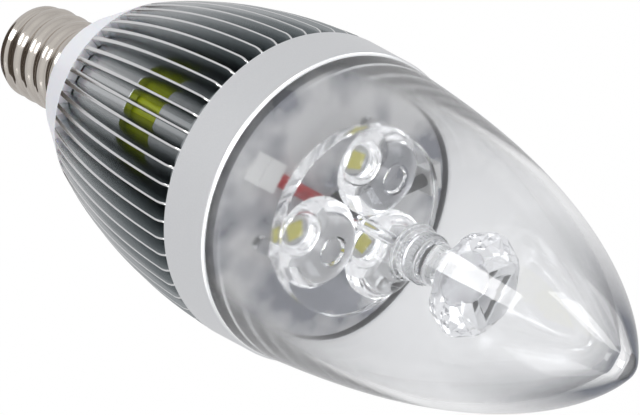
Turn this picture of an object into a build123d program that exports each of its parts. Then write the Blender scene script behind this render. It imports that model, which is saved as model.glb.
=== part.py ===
from build123d import *
import os
from math import cos, pi, radians, sin

# Candle lamp: a screw cap, a white collar, a finned heat sink, a front ring and a clear flame-shaped dome
# over a light board, a triple lens and a faceted crystal. Millimetres, +Z from the contact to the tip.

os.makedirs("parts", exist_ok=True)

# Fits
slip_fit = 0.05
loose_fit = 0.15

# Screw cap
contact_radius = 1.9
contact_height = 1.0
contact_edge = 0.5
shank_radius = 1.1
shank_stand = 0.4
insulator_height = 2.2
insulator_nose_radius = 2.2
insulator_plug_height = 2.4
shell_length = 15.0
shell_wall = 0.35
shell_end_radius = 4.5
shell_end_length = 0.9
skirt_length = 1.6
skirt_flare = 0.6
thread_major_radius = 5.87
thread_minor_radius = 5.25
thread_pitch = 2.54
thread_end_gap = 0.35
thread_crest = 0.65
thread_root = 1.9
thread_sink = 0.12
thread_turn = 31.2

# White collar
collar_length = 7.99
collar_rear_radius = 8.75
collar_edge = 1.2
collar_floor = 1.8
collar_bore = 8.06
collar_wall = 1.45
collar_recess_width = 0.6
collar_spigot_length = 5.8
collar_spigot_wall = 1.2
cap_spigot_length = 7.6
cap_spigot_bore = 3.9
rail_width = 3.2
rail_depth = 1.6

# Heat sink
sink_length = 29.17
sink_rear_depth = 1.63
sink_belly_drop = 1.42
sink_middle_height = 14.83
sink_corner = 1.7
core_wall = 1.2
fin_count = 54
fin_root = 0.7
fin_tip = 0.4
fin_angle = -89.2
window_start = 9.45
window_length = 5.68
plate_thickness = 3.6
plate_step = 1.0
boss_height = 4.0
boss_edge = 0.2
cable_hole_radius = 2.8

# Driver in its sleeve
sleeve_wall = 0.5
sleeve_fit = 0.25
sleeve_end_gap = 0.2
driver_thickness = 1.6
driver_offset = 3.0
driver_width = 15.6
driver_tail_width = 12.4
driver_floor_gap = 0.4
driver_end_gap = 1.4
input_can_radius = 2.5
input_can_height = 9.0
output_can_radius = 2.0
output_can_height = 7.0
can_bead_depth = 0.35
fuse_radius = 1.25
fuse_length = 5.2
core_leg = 2.4
core_window = 2.2
core_depth = 4.8
core_height = 9.2
core_window_height = 6.2
coil_wall = 1.75
coil_corner = 1.0
transformer_end = 4.4
part_gap = 0.8
can_bead_height = 1.4
can_bead_width = 0.6
rectifier_width = 4.7
rectifier_length = 3.9
rectifier_height = 2.4
chip_width = 3.9
chip_length = 4.9
chip_height = 1.5
chip_chamfer = 0.3

# Front ring
ring_radius = 18.5
ring_taper = 0.2
ring_wall = 2.05
ring_overhang = 0.05
ring_length = 6.79
ring_bevel = 0.2
ring_step = 1.2
ring_lip = 0.55

# Clear dome
dome_length = 49.51
dome_shoulder = 0.32
dome_wall = 1.6
dome_middle_drop = 20.73
dome_middle_radius = 12.96
dome_middle_wall = 1.8
dome_upper_drop = 4.28
dome_upper_radius = 4.8
dome_tip_radius = 2.4
dome_tip_wall = 5.6
cavity_tip_radius = 3.0
dome_foot_slope = 0.08

# Light board and lamps
pad_thickness = 0.2
board_gap = 0.2
board_thickness = 1.6
led_pitch_radius = 6.2
led_angle = -47.3
led_size = 3.5
led_height = 0.8
led_chamfer = 0.4
phosphor_size = 2.0
phosphor_thickness = 0.15

# Triple lens
lens_radius = 5.25
lens_plate_radius = 11.3
lens_plate_thickness = 1.84
lens_standoff = 3.1
lens_gap = 0.15
lens_bottom_radius = 2.6
lens_cavity_radius = 1.9
lens_rise = 2.8
lens_flat_radius = 1.85
lens_bulge = 0.45
foot_pitch_radius = 10.6
foot_radius = 0.9
foot_pin_radius = 0.5
foot_pin_length = 1.0

# Crystal and its stem
stem_hole_depth = 1.4
stem_pin_radius = 0.75
stem_pin_stand = 9.26
stem_flange_radius = 3.3
stem_flange_height = 0.5
stem_ring_radius = 2.93
stem_ring_height = 2.67
stem_ring_groove = 0.25
stem_neck_radius = 2.55
stem_top_radius = 2.07
stem_neck_length = 4.68
crystal_sides = 8
crystal_radius = 5.75
crystal_corner_radius = 5.96
table_radius = 4.02
table_corner_radius = 3.85
culet_radius = 2.13
pavilion_height = 2.32
girdle_height = 0.86
crown_height = 1.9

# Leads and terminals
mains_lead_radius = 0.5
lamp_lead_radius = 0.8
lamp_lead_height = 0.95
lamp_lead_bend = 2.2
mains_lead_bend = 2.5
neutral_lead_bend = 1.2
lamp_lead_start = 1.8
lamp_lead_solder = 3.2
lamp_lead_spread = 0.95
terminal_length = 2.3
terminal_width = 3.4
terminal_height = 2.3
terminal_radius = 11.5
terminal_hole_depth = 1.4
red_angle = -90.0
black_angle = led_angle + 180

# Levels along the axis
shell_z = contact_height + insulator_height
collar_z = shell_z + shell_length
sink_z = collar_z + collar_length
ring_z = sink_z + sink_length
dome_z = ring_z + ring_length
tip_z = dome_z + dome_length
plate_top_z = ring_z + plate_step
plate_bottom_z = plate_top_z - plate_thickness
boss_top_z = plate_top_z + boss_height
board_z = boss_top_z + pad_thickness
led_z = board_z + board_thickness
lens_plate_z = led_z + lens_standoff
lens_top_z = lens_plate_z + lens_plate_thickness
stem_flange_z = lens_top_z + stem_pin_stand
stem_ring_z = stem_flange_z + stem_flange_height
stem_neck_z = stem_ring_z + stem_ring_height
crystal_z = stem_neck_z + stem_neck_length
driver_z = collar_z + collar_floor + driver_floor_gap
driver_top_z = plate_bottom_z - driver_end_gap
driver_length = driver_top_z - driver_z
spigot_top_z = sink_z + collar_spigot_length
lamp_lead_z = led_z + lamp_lead_height

# Radii that follow from the fits
collar_spigot_radius = collar_bore + collar_spigot_wall
sleeve_radius = collar_spigot_radius + slip_fit + sleeve_wall
core_bore = sleeve_radius + sleeve_fit
core_radius = core_bore + core_wall
sink_rear_radius = core_radius + sink_rear_depth
sink_front_radius = ring_radius - ring_overhang
sink_middle_radius = sink_front_radius - sink_belly_drop
ring_front_radius = ring_radius - ring_taper
ring_bore = ring_radius - ring_wall
plate_radius = ring_bore - slip_fit
ring_seat_bore = ring_front_radius - ring_lip
dome_foot_radius = ring_seat_bore - slip_fit
dome_radius = dome_foot_radius + dome_shoulder
cavity_radius = dome_foot_radius - dome_wall
board_radius = cavity_radius - board_gap
driver_back = driver_offset + driver_thickness
driver_middle = -driver_offset - driver_thickness / 2


def finish(piece, name):
    piece.part.label = name
    export_step(piece.part, f"parts/{name}.step")


# Centre contact with its rivet shank
with BuildPart() as contact_button:
    with BuildSketch(Plane.XY):
        Circle(contact_radius)
    extrude(amount=contact_height)
    fillet(contact_button.edges().group_by(Axis.Z)[0], radius=contact_edge)
    with BuildSketch(Plane.XY.offset(contact_height)):
        Circle(shank_radius)
    extrude(amount=insulator_height + insulator_plug_height + shank_stand)
finish(contact_button, "contact_button")

# Insulating plug: a cone under the shell's rim, and a plug clamped inside the shell's end
plug_radius = thread_minor_radius - shell_wall - slip_fit
neck_radius = shell_end_radius - shell_wall - slip_fit
with BuildPart() as cap_insulator:
    with BuildSketch(Plane.XZ):
        with BuildLine():
            Polyline(
                (shank_radius + slip_fit, contact_height),
                (insulator_nose_radius, contact_height),
                (neck_radius, shell_z),
                (plug_radius, shell_z + shell_end_length),
                (plug_radius, shell_z + insulator_plug_height),
                (shank_radius + slip_fit, shell_z + insulator_plug_height),
                close=True,
            )
        make_face()
    revolve(axis=Axis.Z)
finish(cap_insulator, "cap_insulator")

# Rolled screw shell: a thin tube with a flared skirt, and a rounded helical thread
thread_z = shell_z + shell_end_length + thread_root / 2
thread_face = thread_minor_radius - thread_sink
thread_length = shell_length - shell_end_length - skirt_length - skirt_flare - thread_root - thread_end_gap
thread_start = Helix(thread_pitch, thread_length, thread_face, center=(0, 0, thread_z))
thread_path = thread_start.rotate(Axis.Z, thread_turn)
thread_outward = Axis.X.direction.rotate(Axis.Z, thread_turn)
with BuildPart() as screw_shell:
    with BuildSketch(Plane.XZ):
        with BuildLine():
            Polyline(
                (shell_end_radius, shell_z),
                (thread_minor_radius, shell_z + shell_end_length),
                (thread_minor_radius, collar_z - skirt_length - skirt_flare),
                (thread_major_radius, collar_z - skirt_length),
                (thread_major_radius, collar_z),
                (thread_major_radius - shell_wall, collar_z),
                (thread_major_radius - shell_wall, collar_z - skirt_length),
                (thread_minor_radius - shell_wall, collar_z - skirt_length - skirt_flare),
                (thread_minor_radius - shell_wall, shell_z + shell_end_length),
                (shell_end_radius - shell_wall, shell_z),
                close=True,
            )
        make_face()
    revolve(axis=Axis.Z)
    with BuildSketch(Plane(thread_path @ 0, x_dir=thread_outward, z_dir=thread_path % 0)):
        with BuildLine():
            Polyline(
                (0, -thread_root / 2),
                (thread_major_radius - thread_face, -thread_crest / 2),
                (thread_major_radius - thread_face, thread_crest / 2),
                (0, thread_root / 2),
                close=True,
            )
        make_face()
    sweep(path=thread_path, is_frenet=True)
finish(screw_shell, "screw_shell")

# White collar: a spigot inside the shell, a flared cup cored out from its front, and a spigot for the sleeve
cap_spigot_radius = thread_minor_radius - shell_wall - slip_fit
skirt_spigot_radius = thread_major_radius - shell_wall - slip_fit
recess_outer = sink_rear_radius - collar_wall
recess_inner = collar_spigot_radius + slip_fit + sleeve_wall + slip_fit
collar_slope = (sink_rear_radius - collar_rear_radius) / collar_length
recess_floor_radius = recess_inner + collar_recess_width
recess_floor_z = sink_z - (recess_outer - recess_floor_radius) / collar_slope
with BuildPart() as base_collar:
    with BuildSketch(Plane.XZ):
        with BuildLine():
            Polyline(
                (cap_spigot_bore, collar_z - cap_spigot_length),
                (cap_spigot_radius, collar_z - cap_spigot_length),
                (cap_spigot_radius, collar_z - skirt_length - skirt_flare),
                (skirt_spigot_radius, collar_z - skirt_length),
                (skirt_spigot_radius, collar_z),
                (collar_rear_radius, collar_z),
                (sink_rear_radius, sink_z),
                (recess_outer, sink_z),
                (recess_floor_radius, recess_floor_z),
                (recess_inner, recess_floor_z),
                (recess_inner, sink_z),
                (collar_spigot_radius, sink_z),
                (collar_spigot_radius, spigot_top_z),
                (collar_bore, spigot_top_z),
                (collar_bore, collar_z + collar_floor),
                (cap_spigot_bore, collar_z + collar_floor),
                close=True,
            )
        make_face()
    revolve(axis=Axis.Z)
    rear_rim = base_collar.edges().filter_by(GeomType.CIRCLE).filter_by_position(Axis.Z, collar_z, collar_z)
    fillet(rear_rim.sort_by(SortBy.RADIUS)[-1], radius=collar_edge)
    with BuildSketch(Plane.XY.offset(collar_z + collar_floor)):
        with Locations((driver_middle, 0)):
            with GridLocations(0, driver_tail_width, 1, 2):
                Rectangle(rail_width, rail_depth)
    extrude(amount=spigot_top_z - collar_z - collar_floor)
    with BuildSketch(Plane.XY.offset(driver_z - driver_floor_gap)):
        with Locations((driver_middle, 0)):
            Rectangle(driver_thickness + 2 * slip_fit, driver_tail_width + 2 * slip_fit)
    extrude(amount=driver_length, mode=Mode.SUBTRACT)
finish(base_collar, "base_collar")


def fin_flank(radius, thickness):
    """Point on the side of a fin, seen from the middle of the groove beside it."""
    half_pitch = pi / fin_count
    x = radius * cos(half_pitch) + thickness / 2 * sin(half_pitch)
    y = radius * sin(half_pitch) - thickness / 2 * cos(half_pitch)
    return x, y


# Heat sink: a barrel cut by tapered grooves into thin fins, windows round its core, a front plate and a boss
root_x, root_y = fin_flank(core_radius, fin_root)
tip_x, tip_y = fin_flank(sink_front_radius, fin_tip)
groove_reach = sink_front_radius + fin_root
groove_mouth = tip_y + (groove_reach - tip_x) * (tip_y - root_y) / (tip_x - root_x)
with BuildPart() as heat_sink:
    with BuildSketch(Plane.XZ):
        with BuildLine():
            Line((core_bore, sink_z), (sink_rear_radius, sink_z))
            ThreePointArc(
                (sink_rear_radius, sink_z),
                (sink_middle_radius, sink_z + sink_middle_height),
                (sink_front_radius, ring_z - sink_corner),
            )
            RadiusArc(
                (sink_front_radius, ring_z - sink_corner),
                (sink_front_radius - sink_corner, ring_z),
                -sink_corner,
            )
            Polyline(
                (sink_front_radius - sink_corner, ring_z),
                (core_bore, ring_z),
                (core_bore, sink_z),
            )
        make_face()
    revolve(axis=Axis.Z)
    with BuildSketch(Plane.XY.offset(sink_z)):
        with PolarLocations(0, fin_count, start_angle=fin_angle + 180 / fin_count):
            Polygon(
                (root_x, -root_y),
                (groove_reach, -groove_mouth),
                (groove_reach, groove_mouth),
                (root_x, root_y),
                align=None,
            )
    extrude(amount=sink_length, mode=Mode.SUBTRACT)
    with BuildSketch(Plane.XY.offset(sink_z + window_start)):
        Circle(core_radius)
        Circle(core_bore, mode=Mode.SUBTRACT)
    extrude(amount=window_length, mode=Mode.SUBTRACT)
    with BuildSketch(Plane.XY.offset(plate_bottom_z)):
        Circle(plate_radius)
    extrude(amount=plate_thickness)
    with BuildSketch(Plane.XY.offset(plate_top_z)):
        Circle(board_radius - boss_edge)
    extrude(amount=boss_height)
    with BuildSketch(Plane.XY.offset(plate_bottom_z)):
        Circle(cable_hole_radius)
    extrude(amount=plate_thickness + boss_height, mode=Mode.SUBTRACT)
finish(heat_sink, "heat_sink")

# Insulating sleeve round the driver, slipped over the collar's front spigot
with BuildPart() as driver_sleeve:
    with BuildSketch(Plane.XY.offset(sink_z)):
        Circle(sleeve_radius)
        Circle(sleeve_radius - sleeve_wall, mode=Mode.SUBTRACT)
    extrude(amount=plate_bottom_z - sink_z - sleeve_end_gap)
finish(driver_sleeve, "driver_sleeve")

# Front ring: a satin band with a bevelled front edge and a step that carries the dome
with BuildPart() as front_ring:
    with BuildSketch(Plane.XZ):
        with BuildLine():
            Polyline(
                (ring_bore, ring_z),
                (ring_radius, ring_z),
                (ring_front_radius, dome_z - ring_bevel),
                (ring_front_radius - ring_bevel, dome_z),
                (ring_seat_bore, dome_z),
                (ring_seat_bore, ring_z + ring_step),
                (ring_bore, ring_z + ring_step),
                close=True,
            )
        make_face()
    revolve(axis=Axis.Z)
finish(front_ring, "front_ring")

# Clear dome: flame-shaped outside, with a cavity that stops short of a solid tip, both ending in a small cap
cavity_tip_z = tip_z - dome_tip_wall
cap_x = sin(pi / 4)
cap_drop = 1 - cos(pi / 4)
with BuildPart() as dome:
    with BuildSketch(Plane.XZ):
        with BuildLine():
            Polyline(
                (cavity_radius, dome_z),
                (cavity_radius, ring_z + ring_step),
                (dome_foot_radius, ring_z + ring_step),
                (dome_foot_radius, dome_z),
                (dome_radius, dome_z),
            )
            outside = Spline(
                (dome_radius, dome_z),
                (dome_middle_radius, tip_z - dome_middle_drop),
                (dome_upper_radius, tip_z - dome_upper_drop),
                (dome_tip_radius * cap_x, tip_z - dome_tip_radius * cap_drop),
                tangents=((-dome_foot_slope, 1), (-1, 1)),
            )
            RadiusArc(outside @ 1, (0, tip_z), -dome_tip_radius)
            Line((0, tip_z), (0, cavity_tip_z))
            inside = Spline(
                (cavity_radius, dome_z),
                (dome_middle_radius - dome_middle_wall, tip_z - dome_middle_drop),
                (cavity_tip_radius * cap_x, cavity_tip_z - cavity_tip_radius * cap_drop),
                tangents=((0, 1), (-1, 1)),
            )
            RadiusArc(inside @ 1, (0, cavity_tip_z), -cavity_tip_radius)
        make_face()
    revolve(axis=Axis.Z)
finish(dome, "dome")

# Thermal pad and light board on the boss of the front plate
foot_hole_radius = foot_pin_radius + slip_fit
lamp_places = PolarLocations(led_pitch_radius, 3, start_angle=led_angle)
with BuildPart() as thermal_pad:
    with BuildSketch(Plane.XY.offset(boss_top_z)):
        Circle(board_radius - boss_edge)
        Circle(cable_hole_radius, mode=Mode.SUBTRACT)
    extrude(amount=pad_thickness)
finish(thermal_pad, "thermal_pad")

with BuildPart() as led_board:
    with BuildSketch(Plane.XY.offset(board_z)):
        Circle(board_radius)
        Circle(cable_hole_radius, mode=Mode.SUBTRACT)
        with PolarLocations(foot_pitch_radius, 3, start_angle=led_angle):
            Circle(foot_hole_radius, mode=Mode.SUBTRACT)
    extrude(amount=board_thickness)
finish(led_board, "led_board")

# Three lamps, each a white package with a square of phosphor on top
for number, place in enumerate(lamp_places, 1):
    lamp_plane = Plane(place)
    with BuildPart() as led_body:
        with BuildSketch(lamp_plane.offset(led_z)):
            Rectangle(led_size, led_size)
        extrude(amount=led_height)
        chamfer(led_body.edges().filter_by(Axis.Z), length=led_chamfer)
    finish(led_body, f"led_body_{number}")

    with BuildPart() as phosphor:
        with BuildSketch(lamp_plane.offset(led_z + led_height)):
            Rectangle(phosphor_size, phosphor_size)
        extrude(amount=phosphor_thickness)
    finish(phosphor, f"phosphor_{number}")

# One lens of the three: a cone with a round hollow over the lamp, and a bulging top with a small flat
lens_bottom_z = led_z + led_height + phosphor_thickness + lens_gap
lens_crown_z = lens_top_z + lens_rise
with BuildPart() as lens_element:
    with BuildSketch(Plane.XZ):
        with BuildLine():
            Line((0, lens_crown_z), (0, lens_bottom_z + lens_cavity_radius))
            RadiusArc(
                (0, lens_bottom_z + lens_cavity_radius),
                (lens_cavity_radius, lens_bottom_z),
                lens_cavity_radius,
            )
            Polyline(
                (lens_cavity_radius, lens_bottom_z),
                (lens_bottom_radius, lens_bottom_z),
                (lens_radius, lens_plate_z),
                (lens_radius, lens_top_z),
            )
            SagittaArc((lens_radius, lens_top_z), (lens_flat_radius, lens_crown_z), -lens_bulge)
            Line((lens_flat_radius, lens_crown_z), (0, lens_crown_z))
        make_face()
    revolve(axis=Axis.Z)

# Triple lens: three lenses joined by a round plate that stands on three pegs, with a hole for the stem
with BuildPart() as triple_lens:
    with BuildSketch(Plane.XY.offset(lens_plate_z)):
        Circle(lens_plate_radius)
    extrude(amount=lens_plate_thickness)
    with PolarLocations(led_pitch_radius, 3, start_angle=led_angle):
        add(lens_element.part)
    with BuildSketch(Plane.XY.offset(led_z)):
        with PolarLocations(foot_pitch_radius, 3, start_angle=led_angle):
            Circle(foot_radius)
    extrude(amount=lens_standoff)
    with BuildSketch(Plane.XY.offset(led_z - foot_pin_length)):
        with PolarLocations(foot_pitch_radius, 3, start_angle=led_angle):
            Circle(foot_pin_radius)
    extrude(amount=foot_pin_length)
    with BuildSketch(Plane.XY.offset(lens_top_z - stem_hole_depth)):
        Circle(stem_pin_radius + slip_fit)
    extrude(amount=stem_hole_depth, mode=Mode.SUBTRACT)
finish(triple_lens, "triple_lens")

# Stem of the crystal: a slim pin, a flange, a grooved ring and a tapering neck
ring_middle_z = stem_ring_z + stem_ring_height / 2
with BuildPart() as crystal_stem:
    with BuildSketch(Plane.XZ):
        with BuildLine():
            Polyline(
                (0, lens_top_z - stem_hole_depth),
                (stem_pin_radius, lens_top_z - stem_hole_depth),
                (stem_pin_radius, stem_flange_z),
                (stem_flange_radius, stem_flange_z),
                (stem_flange_radius, stem_ring_z),
                (stem_ring_radius, stem_ring_z),
                (stem_ring_radius, ring_middle_z - stem_ring_groove),
                (stem_ring_radius - stem_ring_groove, ring_middle_z),
                (stem_ring_radius, ring_middle_z + stem_ring_groove),
                (stem_ring_radius, stem_neck_z),
                (stem_neck_radius, stem_neck_z),
                (stem_top_radius, crystal_z),
                (0, crystal_z),
                close=True,
            )
        make_face()
    revolve(axis=Axis.Z)
finish(crystal_stem, "crystal_stem")

# Crystal: two rings of flat facets, the second turned by half a facet so that it grinds off the corners
girdle_z = crystal_z + pavilion_height
crown_z = girdle_z + girdle_height
table_z = crown_z + crown_height


def ground_stone(girdle_radius, top_radius, turn):
    """Stone with one ring of facets below its girdle, one on it and one above."""
    levels = [
        (crystal_z, culet_radius),
        (girdle_z, girdle_radius),
        (crown_z, girdle_radius),
        (table_z, top_radius),
    ]
    with BuildPart() as stone:
        for (low_z, low_radius), (high_z, high_radius) in zip(levels, levels[1:]):
            with BuildSketch(Plane.XY.offset(low_z)):
                RegularPolygon(low_radius, crystal_sides, major_radius=False, rotation=turn)
            with BuildSketch(Plane.XY.offset(high_z)):
                RegularPolygon(high_radius, crystal_sides, major_radius=False, rotation=turn)
            loft(ruled=True)
    return stone.part


with BuildPart() as crystal:
    add(ground_stone(crystal_radius, table_radius, 0))
    add(ground_stone(crystal_corner_radius, table_corner_radius, 180 / crystal_sides), mode=Mode.INTERSECT)
finish(crystal, "crystal")

# Driver board: a wide front for the large components and a narrow tail in the collar's rails
board_face = Plane((-driver_offset, 0, 0), x_dir=(0, 1, 0), z_dir=(1, 0, 0))
board_back = Plane((-driver_back, 0, 0), x_dir=(0, -1, 0), z_dir=(-1, 0, 0))
with BuildPart() as driver_board:
    with BuildSketch(board_back):
        with Locations((0, driver_z)):
            Rectangle(driver_tail_width, driver_length, align=(Align.CENTER, Align.MIN))
        with Locations((0, spigot_top_z + loose_fit)):
            front_length = driver_top_z - spigot_top_z - loose_fit
            Rectangle(driver_width, front_length, align=(Align.CENTER, Align.MIN))
    extrude(amount=-driver_thickness)
finish(driver_board, "driver_board")

# Transformer: a core of two E shapes round a square coil
coil_width = core_leg + 2 * core_window - 2 * slip_fit
coil_depth = core_depth + 2 * slip_fit + 2 * coil_wall
transformer_middle_x = -driver_offset + coil_depth / 2
transformer_z = driver_top_z - transformer_end - core_height / 2
core_plane = Plane((transformer_middle_x, 0, transformer_z), x_dir=(0, 1, 0), z_dir=(1, 0, 0))
with BuildPart() as transformer_core:
    with BuildSketch(core_plane.offset(-core_depth / 2)):
        Rectangle(core_height, core_height)
        with GridLocations(core_leg + core_window, 0, 2, 1):
            Rectangle(core_window, core_window_height, mode=Mode.SUBTRACT)
    extrude(amount=core_depth)
finish(transformer_core, "transformer_core")

with BuildPart() as transformer_coil:
    with BuildSketch(Plane((transformer_middle_x, 0, transformer_z - core_window_height / 2 + slip_fit))):
        Rectangle(coil_depth, coil_width)
        Rectangle(core_depth + 2 * slip_fit, core_leg + 2 * slip_fit, mode=Mode.SUBTRACT)
    extrude(amount=core_window_height - 2 * slip_fit)
    fillet(transformer_coil.edges().filter_by(Axis.Z).group_by(Axis.X)[0], radius=coil_corner)
    fillet(transformer_coil.edges().filter_by(Axis.Z).group_by(Axis.X)[-1], radius=coil_corner)
finish(transformer_coil, "transformer_coil")


def electrolytic_can(radius, height, z):
    """Upright can on the board with the rolled groove near its foot."""
    with BuildPart() as can:
        with BuildSketch(board_face):
            with Locations((0, z)):
                Circle(radius)
        extrude(amount=height)
        with BuildSketch(board_face.offset(can_bead_height)):
            with Locations((0, z)):
                Circle(radius)
                Circle(radius - can_bead_depth, mode=Mode.SUBTRACT)
        extrude(amount=can_bead_width, mode=Mode.SUBTRACT)
        fillet(can.edges().group_by(Axis.X)[-1], radius=can_bead_depth)
    return can


input_can_z = transformer_z - core_height / 2 - part_gap - input_can_radius
output_can_z = input_can_z - input_can_radius - part_gap - output_can_radius
input_capacitor = electrolytic_can(input_can_radius, input_can_height, input_can_z)
finish(input_capacitor, "input_capacitor")
output_capacitor = electrolytic_can(output_can_radius, output_can_height, output_can_z)
finish(output_capacitor, "output_capacitor")

# Fusible resistor lying along the back of the board's tail
fuse_z = driver_z + part_gap
with BuildPart() as fuse_resistor:
    with BuildSketch(Plane((-driver_back - fuse_radius, 0, fuse_z))):
        Circle(fuse_radius)
    extrude(amount=fuse_length)
    fillet(fuse_resistor.edges().filter_by(GeomType.CIRCLE), radius=fuse_radius / 3)
finish(fuse_resistor, "fuse_resistor")

# Rectifier and control chip on the back of the board
with BuildPart() as bridge_rectifier:
    with BuildSketch(board_back):
        with Locations((0, transformer_z)):
            Rectangle(rectifier_width, rectifier_length)
    extrude(amount=rectifier_height)
    chamfer(bridge_rectifier.faces().sort_by(Axis.X)[0].edges(), length=chip_chamfer)
finish(bridge_rectifier, "bridge_rectifier")

with BuildPart() as driver_chip:
    with BuildSketch(board_back):
        with Locations((0, input_can_z)):
            Rectangle(chip_width, chip_length)
    extrude(amount=chip_height)
    chamfer(driver_chip.faces().sort_by(Axis.X)[0].edges(), length=chip_chamfer)
finish(driver_chip, "driver_chip")


def lead(points, radius, bend):
    """Round lead along straight runs joined by arcs."""
    with BuildPart() as wire:
        with BuildLine() as route:
            FilletPolyline(*points, radius=bend)
        with BuildSketch(Plane(route.line @ 0, z_dir=route.line % 0)):
            Circle(radius)
        sweep()
    return wire


# Mains leads: from the contact's shank and from the shell's wall, up through the collar to the board's tail
mains_x = -driver_offset + mains_lead_radius
mains_y = fuse_radius + part_gap + mains_lead_radius
shank_top_z = shell_z + insulator_plug_height + shank_stand
spigot_end_z = collar_z - cap_spigot_length
shell_wall_x = thread_minor_radius - shell_wall - mains_lead_radius - slip_fit
bore_x = cap_spigot_bore / 2
solder_z = fuse_z + fuse_length / 2
live_lead = lead(
    [
        (0, 0, shank_top_z),
        (0, 0, spigot_end_z),
        (-bore_x / 2, -bore_x / 2, collar_z - skirt_length),
        (mains_x, -mains_y, driver_z + mains_lead_radius),
        (mains_x, -mains_y, solder_z),
    ],
    mains_lead_radius,
    mains_lead_bend,
)
finish(live_lead, "live_lead")
neutral_lead = lead(
    [
        (shell_wall_x, 0, shank_top_z),
        (shell_wall_x - mains_lead_radius, 0, spigot_end_z - 3 * mains_lead_radius),
        (bore_x, 0, spigot_end_z + 3 * mains_lead_radius),
        (bore_x / 2, bore_x / 2, collar_z - skirt_length),
        (mains_x, mains_y, driver_z + mains_lead_radius),
        (mains_x, mains_y, solder_z),
    ],
    mains_lead_radius,
    neutral_lead_bend,
)
finish(neutral_lead, "neutral_lead")


def lamp_lead(angle, side):
    """Lead from the end of the driver board, up through the cable hole and out to its terminal."""
    start_x = -driver_offset + lamp_lead_radius
    start_y = side * lamp_lead_start
    out_x = cos(radians(angle))
    out_y = sin(radians(angle))
    reach = terminal_radius + terminal_hole_depth - loose_fit
    return lead(
        [
            (start_x, start_y, driver_top_z - lamp_lead_solder),
            (start_x, start_y, driver_top_z - lamp_lead_radius),
            (lamp_lead_spread * out_x, lamp_lead_spread * out_y, plate_bottom_z + lamp_lead_radius),
            (lamp_lead_spread * out_x, lamp_lead_spread * out_y, lamp_lead_z),
            (reach * out_x, reach * out_y, lamp_lead_z),
        ],
        lamp_lead_radius,
        lamp_lead_bend,
    )


red_lead = lamp_lead(red_angle, -1)
finish(red_lead, "red_lead")
black_lead = lamp_lead(black_angle, 1)
finish(black_lead, "black_lead")


def terminal(angle):
    """White terminal block on the light board, with a round entry towards the axis."""
    block_plane = Plane.XY.rotated((0, 0, angle))
    entry = block_plane.offset(lamp_lead_z).location * Location((terminal_radius, 0, 0))
    with BuildPart() as block:
        with BuildSketch(block_plane.offset(led_z)):
            with Locations((terminal_radius, 0)):
                Rectangle(terminal_length, terminal_width, align=(Align.MIN, Align.CENTER))
        extrude(amount=terminal_height)
        with BuildSketch(Plane(entry.position, z_dir=entry.x_axis.direction)):
            Circle(lamp_lead_radius + slip_fit)
        extrude(amount=terminal_hole_depth, mode=Mode.SUBTRACT)
    return block


red_terminal = terminal(red_angle)
finish(red_terminal, "red_terminal")
black_terminal = terminal(black_angle)
finish(black_terminal, "black_terminal")
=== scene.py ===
# %% [markdown]
# # A candle lamp, dressed for its photograph
# The solids of the lamp are already made and packed, and they are the fixed frame of this scene.
# Everything below is measured in the same frame: +Z runs from the contact to the tip of the dome.
# Light has to pass many walls of clear plastic, so the renderer may follow it for more bounces than usual.

# %% Load the frame
from math import atan2, cos, degrees, hypot, pi, radians, sin

import bpy
from mathutils import Matrix, Vector
from mathutils.geometry import interpolate_bezier


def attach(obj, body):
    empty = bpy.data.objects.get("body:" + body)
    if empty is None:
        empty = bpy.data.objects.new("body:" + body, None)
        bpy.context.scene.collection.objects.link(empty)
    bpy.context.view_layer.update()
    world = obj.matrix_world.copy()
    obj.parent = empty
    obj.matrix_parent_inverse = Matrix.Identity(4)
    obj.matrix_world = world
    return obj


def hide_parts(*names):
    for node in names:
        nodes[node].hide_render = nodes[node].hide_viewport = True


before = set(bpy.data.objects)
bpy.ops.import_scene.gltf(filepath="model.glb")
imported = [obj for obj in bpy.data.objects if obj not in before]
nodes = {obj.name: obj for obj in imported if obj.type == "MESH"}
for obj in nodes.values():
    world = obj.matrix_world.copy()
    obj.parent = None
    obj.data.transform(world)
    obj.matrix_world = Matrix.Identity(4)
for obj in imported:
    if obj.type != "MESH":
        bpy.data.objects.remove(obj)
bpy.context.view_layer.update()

scene = bpy.context.scene
scene.view_settings.view_transform = "Standard"
scene.cycles.max_bounces = 240
scene.cycles.glossy_bounces = 240
scene.cycles.transmission_bounces = 120
MM = 0.001
print("solids in the frame:", len(nodes))

# %% [markdown]
# ## Camera
# The photograph looks down on the front of the lamp, about 44 degrees off its axis, with the tip towards
# the lower right. A camera could be placed by eye, but then no edge would fall where it should. The place
# and the two directions below were found by fitting circles on one axis to the outlines.

# %% Camera
camera_place = Vector((0.0, -334.21, 403.75))
camera_right = Vector((-0.4749, 0.6314, 0.6131))
camera_up = Vector((-0.8801, -0.3397, -0.3318))
camera_back = camera_right.cross(camera_up)
camera_lens = bpy.data.cameras.new("camera")
camera_lens.lens = 241.9
camera_lens.sensor_width = 36.0
camera_lens.clip_start = 0.01
camera = bpy.data.objects.new("camera", camera_lens)
scene.collection.objects.link(camera)
camera_turn = Matrix((camera_right, camera_up, camera_back)).transposed().to_4x4()
camera.matrix_world = Matrix.Translation(camera_place * MM) @ camera_turn
scene.camera = camera
print("camera distance to the contact in mm:", round(camera_place.length))

# %% [markdown]
# ## Writing shaders as sums
# A finish is a small graph of nodes. Drawing it by hand means many links, so this class wraps one output
# of a node and lets it be added and multiplied. Each sum adds a Math node, and any other node comes from
# one method.


# %% Wires
def named(sockets, key):
    """The socket with this number, identifier or name."""
    if isinstance(key, int):
        return sockets[key]
    found = [s for s in sockets if s.identifier == key] or [s for s in sockets if s.name == key]
    return found[0]


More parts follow.
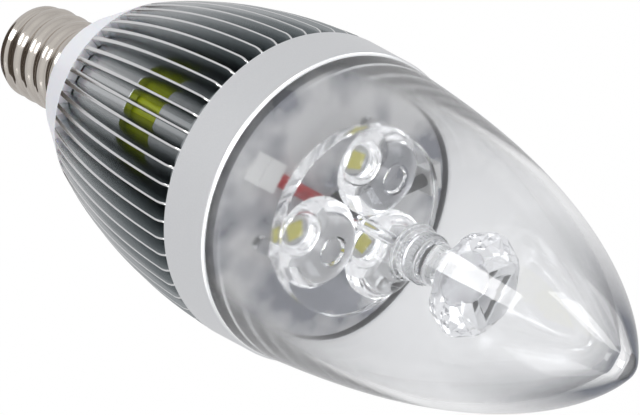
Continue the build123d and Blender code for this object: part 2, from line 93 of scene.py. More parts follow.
class Wire:
    """One output of a node, which can be used in sums."""

    def __init__(self, tree, socket=None):
        self.tree = tree
        self.socket = socket

    def feed(self, shader, inputs):
        for key, value in inputs.items():
            socket = named(shader.inputs, key)
            if isinstance(value, Wire):
                self.tree.links.new(value.socket, socket)
            else:
                socket.default_value = value

    def node(self, kind, settings=None, inputs=None, out=0):
        made = self.tree.nodes.new(kind)
        for key, value in (settings or {}).items():
            setattr(made, key, value)
        self.feed(made, inputs or {})
        return Wire(self.tree, named(made.outputs, out))

    def math(self, operation, first, second):
        return self.node("ShaderNodeMath", {"operation": operation}, {0: first, 1: second})

    def __add__(self, other):
        return self.math("ADD", self, other)

    def __mul__(self, other):
        return self.math("MULTIPLY", self, other)

    __radd__ = __add__
    __rmul__ = __mul__


print("nodes can be written as sums")

# %% [markdown]
# ## Parts of a finish
# Most finishes need the same few things: a noise, a colour between two others and a bump. Each gets a short
# function, and a finish whose colour, gloss and relief follow one noise is a function of its own.


# %% Parts of a finish
def noise(wire, scale, stretch=(1, 1, 1), detail=3.0):
    """Noise in the lamp's own coordinates, with this many waves to the metre."""
    place = wire.node("ShaderNodeTexCoord", out="Object")
    grain = wire.node("ShaderNodeMapping", inputs={"Vector": place, "Scale": stretch})
    return wire.node("ShaderNodeTexNoise", inputs={"Vector": grain, "Scale": scale, "Detail": detail})


def between(wire, amount, low, high):
    """A colour between two others."""
    colours = {"Factor_Float": amount, "A_Color": low, "B_Color": high}
    return wire.node("ShaderNodeMix", {"data_type": "RGBA"}, colours, out="Result_Color")


def relief(wire, height, depth):
    """A bump this deep, in metres."""
    return wire.node("ShaderNodeBump", inputs={"Height": height, "Distance": depth})


def new_finish(name, fixed):
    """A material with fixed values on its main shader, that shader, and a wire for its nodes."""
    material = bpy.data.materials.new(name)
    material.use_nodes = True
    shader = material.node_tree.nodes["Principled BSDF"]
    for key, value in fixed.items():
        shader.inputs[key].default_value = value
    return material, shader, Wire(material.node_tree)


def grained(name, low, high, smooth, rough, scale, depth, stretch=(1, 1, 1), fixed=None):
    """A finish whose colour, gloss and relief drift together over a noise."""
    material, shader, wire = new_finish(name, fixed or {})
    drift = noise(wire, scale, stretch)
    wire.feed(shader, {
        "Base Color": between(wire, drift, (*low, 1), (*high, 1)),
        "Roughness": drift * (rough - smooth) + smooth,
        "Normal": relief(wire, drift, depth),
    })
    return material


print("finishes can be put together")

# %% [markdown]
# ## Metals
# The cap is nickel plate and the front ring is bead-blasted aluminium. A metal's colour is its reflection,
# so each one differs mostly by how rough it is. Pictures of metal could be laid on, but they would carry
# the light of another room, so the grain is a noise.

# %% Metals
METAL = {"Metallic": 1.0}
nickel = grained(
    "nickel", (0.66, 0.61, 0.55), (0.76, 0.71, 0.65), 0.07, 0.16, 420.0, 3e-6, fixed=METAL
)
contact_metal = grained(
    "contact_metal", (0.60, 0.56, 0.50), (0.74, 0.70, 0.64), 0.2, 0.4, 900.0, 6e-6, fixed=METAL
)
satin_aluminium = grained(
    "satin_aluminium", (0.84, 0.85, 0.86), (0.91, 0.92, 0.93), 0.32, 0.42, 5200.0, 5e-6, fixed=METAL
)
print("metals:", nickel.name, contact_metal.name, satin_aluminium.name)

# %% [markdown]
# ## Metal of the fins
# The fins are aluminium with fine lines along the axis, which are noises stretched along it. In the
# photograph their turned rims are bright, and their walls get darker towards the front ring. The rims are
# marked on the mesh, and the walls carry painted shade by height, because light alone left them too even.


# %% Metal of the fins
def coordinate(wire, axis, kind="Object"):
    """One coordinate of the place, which is in metres on a piece."""
    place = wire.node("ShaderNodeTexCoord", out=kind)
    return wire.node("ShaderNodeSeparateXYZ", inputs={0: place}, out=axis)


def rising(wire, value, start, end, top=1.0):
    """Rises from 0 to the top while the value goes from start to end."""
    limits = {"Value": value, "From Min": start, "From Max": end, "To Max": top}
    return wire.node("ShaderNodeMapRange", inputs=limits)


def mark(wire, name):
    """What the faces of a piece say under this name, from 0 to 1."""
    return wire.node("ShaderNodeAttribute", {"attribute_name": name}, out="Fac")


def drawn_aluminium():
    """Aluminium with fine lines along the axis, bright on the rims, with painted shade darkening the walls
    towards the ring.
    """
    material, shader, wire = new_finish("drawn_aluminium", METAL)
    lines = noise(wire, 2600.0, (1, 1, 0.03))
    streaks = noise(wire, 500.0, (1, 1, 0.02))
    # Painted shade: the walls darken by height towards the front ring.
    painted_front_shade = rising(wire, coordinate(wire, "Z"), 0.034, 0.052, 0.65)
    bright = between(wire, streaks, (0.57, 0.59, 0.59, 1), (0.82, 0.83, 0.84, 1))
    shaded_wall = between(wire, painted_front_shade, bright, (0.30, 0.33, 0.34, 1))
    wire.feed(shader, {
        "Base Color": between(wire, mark(wire, "rim"), shaded_wall, (0.90, 0.90, 0.90, 1)),
        "Roughness": lines * 0.08 + streaks * 0.12 + 0.12,
        "Normal": relief(wire, lines, 1e-6),
    })
    return material


fin_metal = drawn_aluminium()
print("fins:", fin_metal.name)

# %% [markdown]
# ## Plastics, boards and wires
# Mouldings have a faint orange-peel skin, and boards and chips have a finer one. Each could get its own
# nodes, but they differ only in numbers, so they share one recipe: two colours, the smoothest and the
# roughest gloss, the waves to the metre and the depth.

# %% Plastics
white_plastic = grained(
    "white_plastic", (0.72, 0.73, 0.78), (0.76, 0.77, 0.81), 0.32, 0.42, 700.0, 5e-6,
    fixed={"Subsurface Weight": 0.12, "Subsurface Scale": 0.0015},
)
black_insulator = grained(
    "black_insulator", (0.012, 0.012, 0.013), (0.03, 0.03, 0.032), 0.25, 0.45, 800.0, 8e-6
)
green_sleeve = grained(
    "green_sleeve", (0.74, 0.86, 0.03), (0.86, 0.96, 0.06), 0.16, 0.3, 300.0, 6e-6
)
grey_pad = grained("grey_pad", (0.35, 0.35, 0.37), (0.45, 0.45, 0.47), 0.6, 0.8, 900.0, 2e-5)
lamp_white = grained("lamp_white", (0.82, 0.82, 0.78), (0.88, 0.88, 0.84), 0.4, 0.55, 2500.0, 4e-6)
phosphor_yellow = grained(
    "phosphor_yellow", (0.95, 0.86, 0.12), (1.0, 0.96, 0.28), 0.35, 0.55, 5000.0, 8e-6
)
red_insulation = grained(
    "red_insulation", (0.56, 0.010, 0.016), (0.66, 0.022, 0.028), 0.3, 0.45, 1500.0, 6e-6
)
black_insulation = grained(
    "black_insulation", (0.02, 0.02, 0.02), (0.04, 0.04, 0.042), 0.3, 0.5, 1500.0, 6e-6
)
terminal_white = grained(
    "terminal_white", (0.88, 0.88, 0.87), (0.93, 0.93, 0.92), 0.35, 0.5, 1200.0, 5e-6
)
board_green = grained("board_green", (0.02, 0.16, 0.06), (0.04, 0.24, 0.09), 0.3, 0.5, 900.0, 6e-6)
ferrite = grained("ferrite", (0.05, 0.05, 0.055), (0.10, 0.10, 0.11), 0.5, 0.75, 2200.0, 1.5e-5)
coil_tape = grained(
    "coil_tape", (0.62, 0.48, 0.03), (0.72, 0.58, 0.06), 0.25, 0.4, 600.0, 5e-6, (1, 1, 12)
)
can_sleeve = grained("can_sleeve", (0.03, 0.05, 0.12), (0.05, 0.08, 0.18), 0.25, 0.4, 900.0, 5e-6)
chip_black = grained(
    "chip_black", (0.018, 0.018, 0.02), (0.035, 0.035, 0.038), 0.5, 0.7, 3500.0, 8e-6
)
resistor_body = grained(
    "resistor_body", (0.32, 0.42, 0.40), (0.42, 0.52, 0.48), 0.35, 0.5, 1500.0, 8e-6
)
print("plastics:", white_plastic.name, green_sleeve.name, red_insulation.name)

# %% [markdown]
# ## Light board
# The board is read as aluminium under a thin white mask, with the metal shining through in cloudy patches.
# One wide noise makes the clouds and sets the colour and the gloss together, so that bright patches are
# also the rougher ones. A fine noise adds the grain of the mask.


# %% Light board
def clouded_board():
    """White mask over aluminium, which shines through it in soft cloudy patches."""
    material, shader, wire = new_finish("board_white", {"Metallic": 0.35})
    cloud = rising(wire, noise(wire, 150.0, detail=2.5), 0.38, 0.58)
    grain = noise(wire, 4200.0)
    wire.feed(shader, {
        "Base Color": between(wire, cloud, (0.30, 0.31, 0.35, 1), (0.84, 0.84, 0.84, 1)),
        "Roughness": cloud * 0.14 + grain * 0.1 + 0.2,
        "Normal": relief(wire, grain, 4e-6),
    })
    return material


board_white = clouded_board()
print("board:", board_white.name)

# %% [markdown]
# ## Clear plastics
# The dome, the lens and the stem are clear acrylic, and the crystal is glass. The light bends at both sides
# of a wall, so the walls have to be closed shells. The ribbed ring of the stem looks frosted, and its faces
# are marked for that. Light that runs inside a clear piece ends where the piece meets another one. The
# crystal's foot is given a foil and the dome's foot its metal seat, as a metal cover on the marked faces.

# %% Clear plastics
CLEAR = {"Transmission Weight": 1.0}
acrylic_bend, glass_bend = 1.49, 1.5


def clear(name, tint, bend, rough, scale, depth):
    """A clear finish with a faint drift in its gloss, and with frost where its faces say so."""
    material, shader, wire = new_finish(name, {**CLEAR, "IOR": bend})
    drift = noise(wire, scale)
    frost = mark(wire, "frost")
    wire.feed(shader, {
        "Base Color": between(wire, frost, (*tint, 1), (0.62, 0.63, 0.64, 1)),
        "Roughness": drift * rough + frost * 0.3,
        "Normal": relief(wire, drift, depth),
    })
    return material


def backed(material, grey, rough):
    """Covers a clear finish with metal where its faces say that something lies behind them."""
    wire = Wire(material.node_tree)
    plastic = Wire(wire.tree, wire.tree.nodes["Principled BSDF"].outputs[0])
    metal = {"Base Color": (*grey, 1), "Roughness": rough, "Metallic": 1.0}
    cover = wire.node("ShaderNodeBsdfPrincipled", inputs=metal)
    parts = {0: mark(wire, "backed"), 1: plastic, 2: cover}
    mixed = wire.node("ShaderNodeMixShader", inputs=parts)
    wire.feed(wire.tree.nodes["Material Output"], {"Surface": mixed})
    return material


lens_plastic = clear("lens_plastic", (0.985, 0.99, 0.995), acrylic_bend, 0.02, 200.0, 4e-6)
stem_plastic = clear("stem_plastic", (0.96, 0.965, 0.97), acrylic_bend, 0.03, 300.0, 5e-6)
crystal_glass = clear("crystal_glass", (0.92, 0.925, 0.935), glass_bend, 0.01, 300.0, 1e-6)
backed(crystal_glass, (0.60, 0.60, 0.61), 0.12)
print("clear:", lens_plastic.name, stem_plastic.name, crystal_glass.name)

# %% [markdown]
# ## Plastic of the dome
# The dome is a little grey, which is what makes it show on white. Its wall is thickest at the tip, where
# painted shade makes the colour nearly black as the view grazes it. Towards the foot it is given less
# gloss, because a polished wall carries many small images of the ring that the photograph lacks.


# %% Plastic of the dome
def dome_with_painted_tip_shade():
    """Clear plastic with painted shade, nearly black where the view grazes the tip, and softer at the foot.
    """
    material, shader, wire = new_finish("dome_plastic", {**CLEAR, "IOR": acrylic_bend})
    drift = noise(wire, 60.0)
    height = coordinate(wire, "Z")
    tip_shade_zone = rising(wire, height, 0.094, 0.108)
    foot = rising(wire, height, 0.080, 0.062)
    facing = wire.node("ShaderNodeLayerWeight", inputs={"Blend": 0.5}, out="Facing")
    along = rising(wire, facing, 0.1, 0.5)
    # Painted shade: near the tip the colour goes almost to black where the view grazes the surface.
    wire.feed(shader, {
        "Base Color": between(wire, tip_shade_zone * along, (0.905, 0.91, 0.92, 1), (0.03, 0.035, 0.05, 1)),
        "Roughness": drift * 0.03 + foot * 0.13 + 0.02,
        "Normal": relief(wire, drift, 2e-6),
    })
    return material


dome_plastic = backed(dome_with_painted_tip_shade(), (0.97, 0.97, 0.97), 0.5)
print("dome:", dome_plastic.name)

# %% [markdown]
# ## Selecting and modifying
# An operator acts on all that is selected, so each step first selects its own piece and nothing else. A
# modifier is applied at once, so that the next step works on the mesh that it made.


# %% Selecting and modifying
def select_none():
    """Leaves edit mode and deselects everything."""
    if bpy.context.object and bpy.context.object.mode != "OBJECT":
        bpy.ops.object.mode_set(mode="OBJECT")
    bpy.ops.object.select_all(action="DESELECT")


def alone(piece):
    """Makes one piece the only selected one."""
    select_none()
    piece.select_set(True)
    bpy.context.view_layer.objects.active = piece


def modify(piece, kind, **settings):
    """Adds one modifier and applies it."""
    alone(piece)
    modifier = piece.modifiers.new(kind, kind)
    for key, value in settings.items():
        setattr(modifier, key, value)
    bpy.ops.object.modifier_apply(modifier=modifier.name)


def smooth(piece, angle=32):
    """Shades a piece smooth, apart from edges sharper than this angle."""
    alone(piece)
    bpy.ops.object.shade_smooth_by_angle(angle=radians(angle))


print("pieces can be selected and modified")

# %% [markdown]
# ## Turning a profile
# Most of the lamp is turned. By hand, a turned piece starts as one vertex, which is extruded from point to
# point along the profile, and the profile is then spun round the axis. A stack of cylinders would do for
# straight walls only. Profiles are pairs of radius and height in mm.


# %% Turning a profile
def walk(name, profile):
    """Draws a profile by extruding one vertex from point to point, and leaves it in edit mode."""
    select_none()
    bpy.ops.mesh.primitive_plane_add(size=MM)
    piece = bpy.context.object
    piece.name = name
    piece.data.name = name
    bpy.ops.object.mode_set(mode="EDIT")
    bpy.ops.mesh.select_all(action="SELECT")
    bpy.ops.mesh.merge(type="CENTER")
    here = (0.0, 0.0)
    for number, point in enumerate(profile):
        step = ((point[0] - here[0]) * MM, 0.0, (point[1] - here[1]) * MM)
        if number == 0:
            bpy.ops.transform.translate(value=step)
        else:
            bpy.ops.mesh.extrude_vertices_move(TRANSFORM_OT_translate={"value": step})
        here = point
    return piece


def turned(name, profile, steps=128, closed=True):
    """Spins a profile round the axis, after joining its ends if it is closed."""
    piece = walk(name, profile + profile[:1] if closed else profile)
    bpy.ops.mesh.select_all(action="SELECT")
    bpy.ops.mesh.spin(steps=steps, angle=2 * pi, center=(0, 0, 0), axis=(0, 0, 1))
    bpy.ops.mesh.select_all(action="SELECT")
    bpy.ops.mesh.remove_doubles(threshold=1e-6)
    bpy.ops.mesh.normals_make_consistent(inside=False)
    bpy.ops.object.mode_set(mode="OBJECT")
    smooth(piece)
    return piece


print("profiles can be turned")

# %% [markdown]
# ## Screw shell
# The shell is thin brass, rolled so that the thread is a wave in the sheet, and then plated. A helix could
# be swept along it, but that makes a thick thread on a smooth tube. Here a turned tube with many rings is
# the sheet, and each vertex moves out or in by the wave's height at its own angle, which is what rolling
# does. The wave fades at both ends, where the sheet stays round for the end cone and the skirt.


# %% Helpers for the shell
def curve(start, leave, arrive, end, count):
    """Points on a smooth curve that leaves and arrives in these directions."""
    a, b = Vector(start), Vector(end)
    reach = (b - a).length / 3
    handle_a = a + Vector(leave).normalized() * reach
    handle_b = b - Vector(arrive).normalized() * reach
    return [tuple(p) for p in interpolate_bezier(a, handle_a, handle_b, b, count)]


def dress(piece, material, slot, *replaced):
    """Gives a finished piece its material and its body, and hides the solids that it stands for; the slot
    is not used.
    """
    piece.data.materials.clear()
    piece.data.materials.append(material)
    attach(piece, "root")
    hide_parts(*replaced)
    print(piece.name, "faces:", len(piece.data.polygons))


print("curves can be drawn and pieces dressed")

# %% Screw shell
shell_wall = 0.35
shell_rings = 104
thread_pitch = 2.54
thread_low, thread_high = 5.25, 5.87
thread_start, thread_end = 4.3, 16.0
thread_fade = 0.7
thread_phase = radians(-35.4)
thread_middle = (thread_low + thread_high) / 2
thread_wave = (thread_high - thread_low) / 2
ring_gap = (thread_end - thread_start) / shell_rings
shell_outside = (
    curve((4.5, 3.2), (1.0, 0.35), (0.05, 1.0), (thread_middle, thread_start), 9)
    + [(thread_middle, thread_start + ring_gap * n) for n in range(1, shell_rings)]
    + curve((thread_middle, thread_end), (0.1, 1.0), (0.15, 1.0), (thread_high, 16.9), 5)
    + [(thread_high, 17.5), (thread_high, 18.2)]
)
screw_shell = turned("rolled_shell", shell_outside, steps=112, closed=False)
for vertex in screw_shell.data.vertices:
    x, y, z = vertex.co / MM
    fade = max(0.0, min(1.0, (z - thread_start) / thread_fade, (thread_end - z) / thread_fade))
    turn = 2 * pi * z / thread_pitch - atan2(y, x) - thread_phase
    grown = 1 + fade * fade * (3 - 2 * fade) * thread_wave * cos(turn) / hypot(x, y)
    vertex.co.x *= grown
    vertex.co.y *= grown
modify(screw_shell, "SOLIDIFY", thickness=shell_wall * MM, offset=-1.0)
smooth(screw_shell, 50)
dress(screw_shell, nickel, "nickel", "screw_shell")

# %% [markdown]
# ## Fins of the heat sink
# The heat sink is a barrel of thin fins round a short tube. The grooves could be cut out of a barrel, but a
# fin is easier to shape alone. It is drawn from its outer edge: the edge is extruded in to the root,
# Solidify gives it a thickness that grows towards the root, Bevel breaks its edges so that they catch the
# light, and spin repeats it round the axis.


# %% Helpers for the fins
def soften(piece, width, segments, angle):
    """Bevels the edges that are sharper than this angle, with a width in mm."""
    limit = radians(angle)
    modify(piece, "BEVEL", width=width * MM, segments=segments, limit_method="ANGLE", angle_limit=limit)


def repeat(piece, count):
    """Copies a piece round the axis until there are this many."""
    alone(piece)
    bpy.ops.object.mode_set(mode="EDIT")
    bpy.ops.mesh.select_all(action="SELECT")
    turn = 2 * pi * (count - 1) / count
    bpy.ops.mesh.spin(steps=count - 1, dupli=True, angle=turn, center=(0, 0, 0), axis=(0, 0, 1))
    bpy.ops.object.mode_set(mode="OBJECT")


def mark_faces(piece, name, chosen):
    """Writes 1 on the faces that a test chooses, by radius and height in mm, and 0 on the rest."""
    marks = piece.data.attributes.new(name, "FLOAT", "FACE")
    for face in piece.data.polygons:
        radius, height = hypot(face.center.x, face.center.y) / MM, face.center.z / MM
        marks.data[face.index].value = 1.0 if chosen(radius, height, face) else 0.0


def arc(centre, radius, start, end, count):
    """Points on a circle, from one angle to another in degrees."""
    angles = [radians(start + (end - start) * n / (count - 1)) for n in range(count)]
    return [(centre[0] + radius * cos(a), centre[1] + radius * sin(a)) for a in angles]


def arc_through(a, b, c, count):
    """Points on the circle through three points, from the first to the last."""
    (ax, ay), (bx, by), (cx, cy) = a, b, c
    d = 2 * (ax * (by - cy) + bx * (cy - ay) + cx * (ay - by))
    a2, b2, c2 = ax * ax + ay * ay, bx * bx + by * by, cx * cx + cy * cy
    centre = (
        (a2 * (by - cy) + b2 * (cy - ay) + c2 * (ay - by)) / d,
        (a2 * (cx - bx) + b2 * (ax - cx) + c2 * (bx - ax)) / d,
    )
    start = atan2(ay - centre[1], ax - centre[0])
    end = atan2(cy - centre[1], cx - centre[0])
    return arc(centre, hypot(ax - centre[0], ay - centre[1]), degrees(start), degrees(end), count)


print("pieces can be softened, repeated and marked")

# %% Fins
fin_count = 54
fin_angle = -89.2
fin_root_radius, fin_root_width, fin_tip_width = 11.26, 0.7, 0.27
fin_sink = 0.25
sink_rear, sink_belly, sink_front = (12.89, 26.19), (17.03, 41.02), (18.45, 53.66)
sink_corner = 1.7
fin_edge = arc_through(sink_rear, sink_belly, sink_front, 14)
fin_edge += arc((sink_front[0] - sink_corner, sink_front[1]), sink_corner, 0, 90, 6)[1:]
fins = walk("fins", fin_edge)
bpy.ops.mesh.select_all(action="SELECT")
bpy.ops.mesh.extrude_region_move(TRANSFORM_OT_translate={"value": (0, 0, 0)})
root_x = (fin_root_radius - fin_sink) * MM
bpy.ops.transform.resize(value=(0, 1, 1), center_override=(root_x, 0, 0))
bpy.ops.object.mode_set(mode="OBJECT")
taper = fins.vertex_groups.new(name="taper")
for vertex in fins.data.vertices:
    rise = (vertex.co.x / MM - fin_root_radius) / (sink_front[0] - fin_root_radius)
    width = fin_root_width + (fin_tip_width - fin_root_width) * rise
    taper.add([vertex.index], min(1.0, width / fin_root_width), "REPLACE")
modify(fins, "SOLIDIFY", thickness=fin_root_width * MM, offset=0.0, vertex_group="taper")
soften(fins, 0.07, 2, 50)
mark_faces(fins, "rim", lambda radius, height, face: radius > fin_root_radius and abs(face.normal.y) < 0.9)
alone(fins)
fins.rotation_euler.z = radians(fin_angle)
bpy.ops.object.transform_apply(rotation=True)
repeat(fins, fin_count)
smooth(fins, 40)
print("fin faces:", len(fins.data.polygons))

# %% [markdown]
# ## Tube and front plate of the heat sink
# The tube inside the fins is open between 35.6 and 41.3 mm, where the driver's sleeve shows. Windows could
# be cut with Boolean, but the opening runs all round, so two tubes are turned instead. The front one
# carries a plate and a boss for the light board. Both are joined to the fins.

# %% Tube and front plate
tube_bore, tube_radius = 10.06, 11.26
window_low, window_high = 35.64, 41.32
plate_radius, plate_low, plate_high = 16.4, 52.76, 56.36
boss_radius, boss_high = 15.7, 60.36
cable_hole = 2.8
rear_tube = turned("rear_tube", [
    (tube_bore, sink_rear[1]),
    (tube_radius, sink_rear[1]),
    (tube_radius, window_low),
    (tube_bore, window_low),
])
front_tube = turned("front_tube", [
    (tube_bore, window_high),
    (tube_radius, window_high),
    (tube_radius, plate_low),
    (plate_radius, plate_low),
    (plate_radius, plate_high),
    (boss_radius, plate_high),
    (boss_radius, boss_high),
    (cable_hole, boss_high),
    (cable_hole, plate_low),
    (tube_bore, plate_low),
])
for tube in (rear_tube, front_tube):
    soften(tube, 0.08, 2, 50)
    smooth(tube, 40)
alone(fins)
rear_tube.select_set(True)
front_tube.select_set(True)
bpy.ops.object.join()
fins.name = "heat_sink_fins"
dress(fins, fin_metal, "bright_aluminium", "heat_sink")

# %% [markdown]
# ## Front ring
# The ring is a band with a slight taper. Its front edge is broken by a bright bevel, and a step inside
# carries the dome. The real one is turned from tube, so its profile is turned here as well, and a narrow
# Bevel rounds its other edges.

# %% Front ring
ring_back, ring_step, ring_front = 55.36, 56.56, 62.15
ring_bore, dome_bore = 16.45, 17.75
front_ring = turned("satin_ring", [
    (ring_bore, ring_back),
    (18.5, ring_back),
    (18.3, 61.95),
    (18.1, ring_front),
    (dome_bore, ring_front),
    (dome_bore, ring_step),
    (ring_bore, ring_step),
], steps=160)
soften(front_ring, 0.07, 2, 25)
smooth(front_ring, 20)
dress(front_ring, satin_aluminium, "satin_aluminium", "front_ring")

# %% [markdown]
# ## Dome
# The dome is a moulded flame shape. Solidify could thicken an outer skin, but the wall isn't even. One line
# runs from the cavity's top down the inside, round the foot and up the outside, so the spun shell is closed
# and the light bends as it does in a real wall. The faces of the foot that sit in the ring are marked,
# because light that comes down the wall meets metal there.

# %% Dome
dome_tip, cavity_tip = 111.66, 109.5
tip_round, cavity_round = 2.4, 2.0
outer_radius, foot_radius, cavity_radius = 18.02, 17.70, 16.10
cavity_middle, cavity_lean = (11.86, 90.93), (-0.33, 0.944)
outer_middle, outer_lean = (12.96, 90.93), (-0.3062, 0.952)
outer_upper, upper_lean = (4.80, 107.38), (-0.6042, 0.7969)
cavity_line = (
    curve((cavity_radius, ring_front), (0, 1), cavity_lean, cavity_middle, 26)
    + curve(cavity_middle, cavity_lean, (-1, 1), (1.414, 108.914), 16)[1:]
    + arc((0, cavity_tip - cavity_round), cavity_round, 45, 90, 7)[1:]
)
outer_line = (
    curve((outer_radius, ring_front), (-0.08, 1), outer_lean, outer_middle, 26)
    + curve(outer_middle, outer_lean, upper_lean, outer_upper, 16)[1:]
    + curve(outer_upper, upper_lean, (-1, 1), (1.697, 110.957), 6)[1:]
    + arc((0, dome_tip - tip_round), tip_round, 45, 90, 7)[1:]
)
foot_line = [(cavity_radius, ring_step), (foot_radius, ring_step), (foot_radius, ring_front)]
dome = turned("clear_dome", cavity_line[::-1] + foot_line + outer_line, steps=160, closed=False)
smooth(dome, 40)
seat_top, seat_inside = ring_front - 0.05, cavity_radius + 0.1
mark_faces(dome, "backed", lambda radius, height, face: height < seat_top and radius > seat_inside)
dress(dome, dome_plastic, "clear_plastic", "dome")

# %% [markdown]
# ## Triple lens
# Three lenses stand on one round plate with three pegs under its rim. One lens is turned and copied to its
# three places. Boolean joins the copies, the plate and the pegs into one clear body, because pieces that
# only overlap would bend the light twice.

# %% Lens, peg and plate
plate_bottom, plate_top = 65.26, 67.10
lens_bottom, lens_crown = 63.26, 69.90
stem_foot = 65.7
lens_profile = (
    arc((0, lens_bottom), 1.9, 90, 0, 10)
    + [(2.6, lens_bottom), (5.25, plate_bottom)]
    + curve((5.25, plate_top), (-0.6, 1.0), (-1.0, 0.45), (1.85, lens_crown), 12)
    + [(1.6, lens_crown - 0.04), (1.45, lens_crown - 0.5), (0, lens_crown - 0.62)]
)
peg_profile = [(0, 61.2), (0.5, 61.2), (0.5, 62.16), (0.9, 62.16), (0.9, 65.7), (0, 65.7)]
plate_profile = [(0, plate_bottom), (11.3, plate_bottom), (11.3, plate_top), (0, plate_top)]
hole_profile = [(0, stem_foot), (0.8, stem_foot), (0.8, 68.0), (0, 68.0)]
triple_lens = turned("lens_plate", plate_profile, closed=False)
soften(triple_lens, 0.2, 3, 50)
one_lens = turned("one_lens", lens_profile, steps=72, closed=False)
one_peg = turned("one_peg", peg_profile, steps=24, closed=False)
stem_hole = turned("stem_hole", hole_profile, steps=32, closed=False)
print("lens faces:", len(one_lens.data.polygons))

# %% Joining the lens
lens_angle = -47.3
lens_pitch, peg_pitch = 6.2, 10.6
for number in range(3):
    heading = radians(lens_angle + 120 * number)
    for shape, reach in ((one_lens, lens_pitch), (one_peg, peg_pitch)):
        alone(shape)
        bpy.ops.object.duplicate()
        copy = bpy.context.object
        copy.location = Vector((cos(heading), sin(heading), 0)) * reach * MM
        bpy.ops.object.transform_apply(location=True)
        modify(triple_lens, "BOOLEAN", object=copy, operation="UNION", solver="EXACT")
        bpy.data.objects.remove(copy)
modify(triple_lens, "BOOLEAN", object=stem_hole, operation="DIFFERENCE", solver="EXACT")
for shape in (one_lens, one_peg, stem_hole):
    bpy.data.objects.remove(shape)
smooth(triple_lens, 28)
triple_lens.name = "triple_lens_moulding"
dress(triple_lens, lens_plastic, "lens_plastic", "triple_lens")

# %% [markdown]
# ## Stem of the crystal
# A slim pin rises from the plate to a ring with fine ribs, and a tapering neck carries the crystal. The pin
# and the neck are turned. Ribs could be a bump in the finish, but light that passes through them needs real
# faces, so one rib is a small block, spun round the ring and joined by Boolean to keep the body closed.

# %% Stem
rib_radius = 2.78
crystal_foot = 84.21
stem = turned("ribbed_stem", [
    (0, stem_foot),
    (0.75, stem_foot),
    (0.75, 76.36),
    (3.3, 76.36),
    (3.3, 76.86),
    (rib_radius, 76.86),
    (rib_radius, 77.95),
    (2.53, 78.20),
    (rib_radius, 78.45),
    (rib_radius, 79.53),
    (2.55, 79.53),
    (2.07, crystal_foot),
    (0, crystal_foot),
], steps=96, closed=False)
soften(stem, 0.06, 2, 40)
print("stem faces:", len(stem.data.polygons))

# %% Ribs of the stem
rib_count = 40
rib_depth, rib_width, rib_height = 0.3, 0.2, 0.92
frost_low, frost_high, frost_inside = 77.9, 79.6, 1.2
for low in (76.96, 78.54):
    select_none()
    rib_middle = Vector((rib_radius, 0, low + rib_height / 2))
    bpy.ops.mesh.primitive_cube_add(size=1.0, location=rib_middle * MM)
    rib = bpy.context.object
    rib.scale = Vector((rib_depth, rib_width, rib_height)) * MM
    bpy.ops.object.transform_apply(location=True, scale=True)
    soften(rib, 0.06, 1, 50)
    repeat(rib, rib_count)
    modify(stem, "BOOLEAN", object=rib, operation="UNION", solver="EXACT")
    bpy.data.objects.remove(rib)
mark_faces(
    stem, "frost", lambda radius, height, face: frost_low < height < frost_high and radius > frost_inside
)
smooth(stem, 30)
dress(stem, stem_plastic, "stem_plastic", "crystal_stem")

# %% [markdown]
# ## Crystal
# The crystal's facets are flat and are already right in the solid, so they aren't cut again. A copy is
# merged, its triangles are joined into whole facets, and a narrow Bevel polishes the edges between them,
# which is where a cut stone glitters. The face on the stem is marked for its foil.

# %% Crystal
alone(nodes["crystal"])
bpy.ops.object.duplicate()
crystal = bpy.context.object
crystal.name = "cut_crystal"
for key in [k for k in crystal.keys() if k.startswith("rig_")]:
    del crystal[key]
bpy.ops.object.mode_set(mode="EDIT")
bpy.ops.mesh.select_all(action="SELECT")
bpy.ops.mesh.remove_doubles(threshold=2e-6)
bpy.ops.mesh.dissolve_limited(angle_limit=radians(1))
bpy.ops.mesh.customdata_custom_splitnormals_clear()
bpy.ops.object.mode_set(mode="OBJECT")
soften(crystal, 0.05, 1, 8)
bpy.ops.object.shade_flat()
foil_top = crystal_foot + 0.04
mark_faces(crystal, "backed", lambda radius, height, face: height < foil_top)
dress(crystal, crystal_glass, "crystal_glass", "crystal")

# %% [markdown]
# ## The solids that stay
# The other solids already have the right shape, such as the collar, the leads and the driver's components.
# They could be modelled again, but nothing would be gained, so they only get a finish.

# %% Finishes for the solids
solid_finishes = {
    contact_metal: ["contact_button"],
    black_insulator: ["cap_insulator"],
    white_plastic: ["base_collar"],
    green_sleeve: ["driver_sleeve"],
    grey_pad: ["thermal_pad"],
    board_white: ["led_board"],
    lamp_white: ["led_body_1", "led_body_2", "led_body_3"],
    phosphor_yellow: ["phosphor_1", "phosphor_2", "phosphor_3"],
    red_insulation: ["red_lead", "live_lead"],
    black_insulation: ["black_lead", "neutral_lead"],
    terminal_white: ["red_terminal", "black_terminal"],
    board_green: ["driver_board"],
    ferrite: ["transformer_core"],
    coil_tape: ["transformer_coil"],
    can_sleeve: ["input_capacitor", "output_capacitor"],
    chip_black: ["bridge_rectifier", "driver_chip"],
    resistor_body: ["fuse_resistor"],
}
for material, names in solid_finishes.items():
    for name in names:
        for holder in nodes[name].material_slots:
            holder.material = material
print("solids with a finish:", sum(len(names) for names in solid_finishes.values()))

# %% [markdown]
# ## Floor
# The background of the photograph is white, so the camera sees a white floor. More light would make it
# white too, but would bleach the lamp. Metal sees the floor grey, because a metal's colour is its
# surroundings. Through the clear pieces it carries a painted shadow: it is darker in front of the lamp than
# behind it, which gives them the grey shades that they have in the photograph. A little of the paint is
# left in the mix for the shadow.


# %% Floor
def ray(wire, kind):
    """1 for rays of this kind and 0 for the others."""
    return wire.node("ShaderNodeLightPath", out="Is " + kind + " Ray")


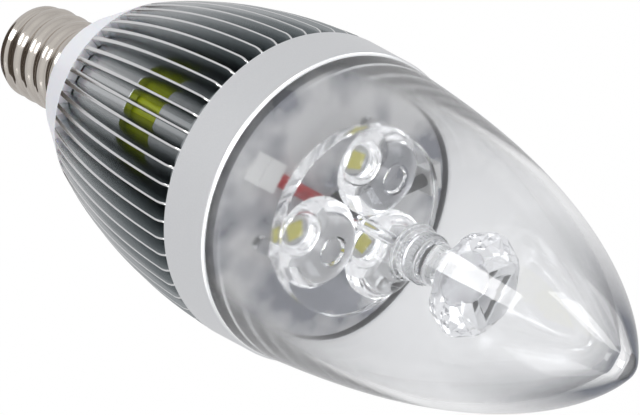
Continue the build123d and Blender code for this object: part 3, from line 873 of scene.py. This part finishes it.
WHITE = (1, 1, 1, 1)
floor_place = (0, 0, -0.16)
floor_glow = 0.97
select_none()
bpy.ops.mesh.primitive_circle_add(vertices=96, radius=3.0, fill_type="NGON", location=floor_place)
floor = bpy.context.object
floor.name = "floor"
floor_paint, floor_shader, paint = new_finish(
    "floor_paint", {"Base Color": (0.72, 0.72, 0.72, 1), "Roughness": 0.9}
)
straight, through, glossy = ray(paint, "Camera"), ray(paint, "Transmission"), ray(paint, "Glossy")
# Painted shadow: through the clear pieces the floor is grey in front of the lamp and white behind it.
behind = rising(paint, coordinate(paint, "Y"), 0.0, 0.12)
painted_shadow_through_glass = between(paint, behind, (0.35, 0.35, 0.37, 1), WHITE)
mirrored = between(paint, through, (0.62, 0.62, 0.63, 1), painted_shadow_through_glass)
seen = paint.math("MAXIMUM", paint.math("MAXIMUM", straight, through), glossy)
glow = paint.node("ShaderNodeEmission", inputs={"Color": between(paint, straight, mirrored, WHITE)})
painted = Wire(paint.tree, floor_shader.outputs[0])
mixed = paint.node("ShaderNodeMixShader", inputs={0: seen * floor_glow, 1: painted, 2: glow})
paint.feed(paint.tree.nodes["Material Output"], {"Surface": mixed})
floor.data.materials.append(floor_paint)
print("floor height in m:", floor_place[2])

# %% [markdown]
# ## Studio
# The world stands for the walls and the ceiling, which could be modelled, but nothing would show their
# corners. It is white for the camera and through the clear pieces. For everything else it is grey at the
# horizon and paler above, which gives metal a soft change of tone.

# %% Studio
world = bpy.data.worlds.new("studio")
scene.world = world
world.use_nodes = True
studio = Wire(world.node_tree)
above = rising(studio, coordinate(studio, "Z", "Generated"), 0.0, 0.7)
walls = between(studio, above, (0.56, 0.56, 0.57, 1), (0.86, 0.86, 0.86, 1))
in_view = studio.math("MAXIMUM", ray(studio, "Camera"), ray(studio, "Transmission"))
studio.feed(world.node_tree.nodes["Background"], {
    "Color": between(studio, in_view, walls, WHITE),
    "Strength": 1.0,
})
print("world:", world.name)

# %% [markdown]
# ## Dark card
# Photographers put a dark card beside polished metal, so that its shape shows by a dark line along it. This
# one lies under the screw cap. It is hidden from the camera and from all rays but reflections, so it
# darkens nothing else.

# %% Dark card
card_side = 22 * MM
card_place = Vector((7.2, -8.5, -1.5)) * MM
card_facing = Vector((0.449, -0.534, -0.717))
select_none()
bpy.ops.mesh.primitive_plane_add(size=card_side, location=card_place)
card = bpy.context.object
card.name = "dark_card"
card.rotation_euler = card_facing.to_track_quat("Z", "Y").to_euler()
bpy.ops.object.transform_apply(location=True, rotation=True)
card.visible_camera = False
card.visible_transmission = False
card.visible_diffuse = False
card.visible_shadow = False
card_paint = new_finish("card_paint", {"Base Color": (0.06, 0.048, 0.038, 1), "Roughness": 0.9})[0]
card.data.materials.append(card_paint)
print("card side in m:", card_side)

# %% [markdown]
# ## Soft boxes
# Five rectangular lights. The reflection of the front one is the white band over the crystal, and that of
# the key one is the streak near the tip, so their directions follow from where those lie in the photograph.
# The top one lights the inside of the dome, and the other two fill the sides.


# %% Soft boxes
lamp_middle = Vector((0, 0, 0.056))


def softbox(name, direction, distance, width, height, radiance):
    """A rectangular light that faces the lamp from this direction, as bright as this many times white."""
    data = bpy.data.lights.new(name, "AREA")
    data.shape = "RECTANGLE"
    data.size = width
    data.size_y = height
    data.energy = radiance * pi * width * height
    box = bpy.data.objects.new(name, data)
    scene.collection.objects.link(box)
    box.location = lamp_middle + Vector(direction).normalized() * distance
    box.rotation_euler = (lamp_middle - box.location).to_track_quat("-Z", "Y").to_euler()


softbox("key_box", (-0.68, -0.52, 0.56), 0.7, 0.20, 0.29, 5.0)
softbox("side_box", (-0.9, 0.3, 0.35), 0.8, 0.4, 0.4, 1.6)
softbox("low_box", (0.85, -0.3, 0.4), 0.9, 0.5, 0.3, 1.6)
softbox("front_box", (-0.104, -0.988, 0.112), 0.8, 0.29, 0.27, 6.5)
softbox("top_box", (0.0, -0.25, 0.97), 0.9, 0.5, 0.5, 7.5)
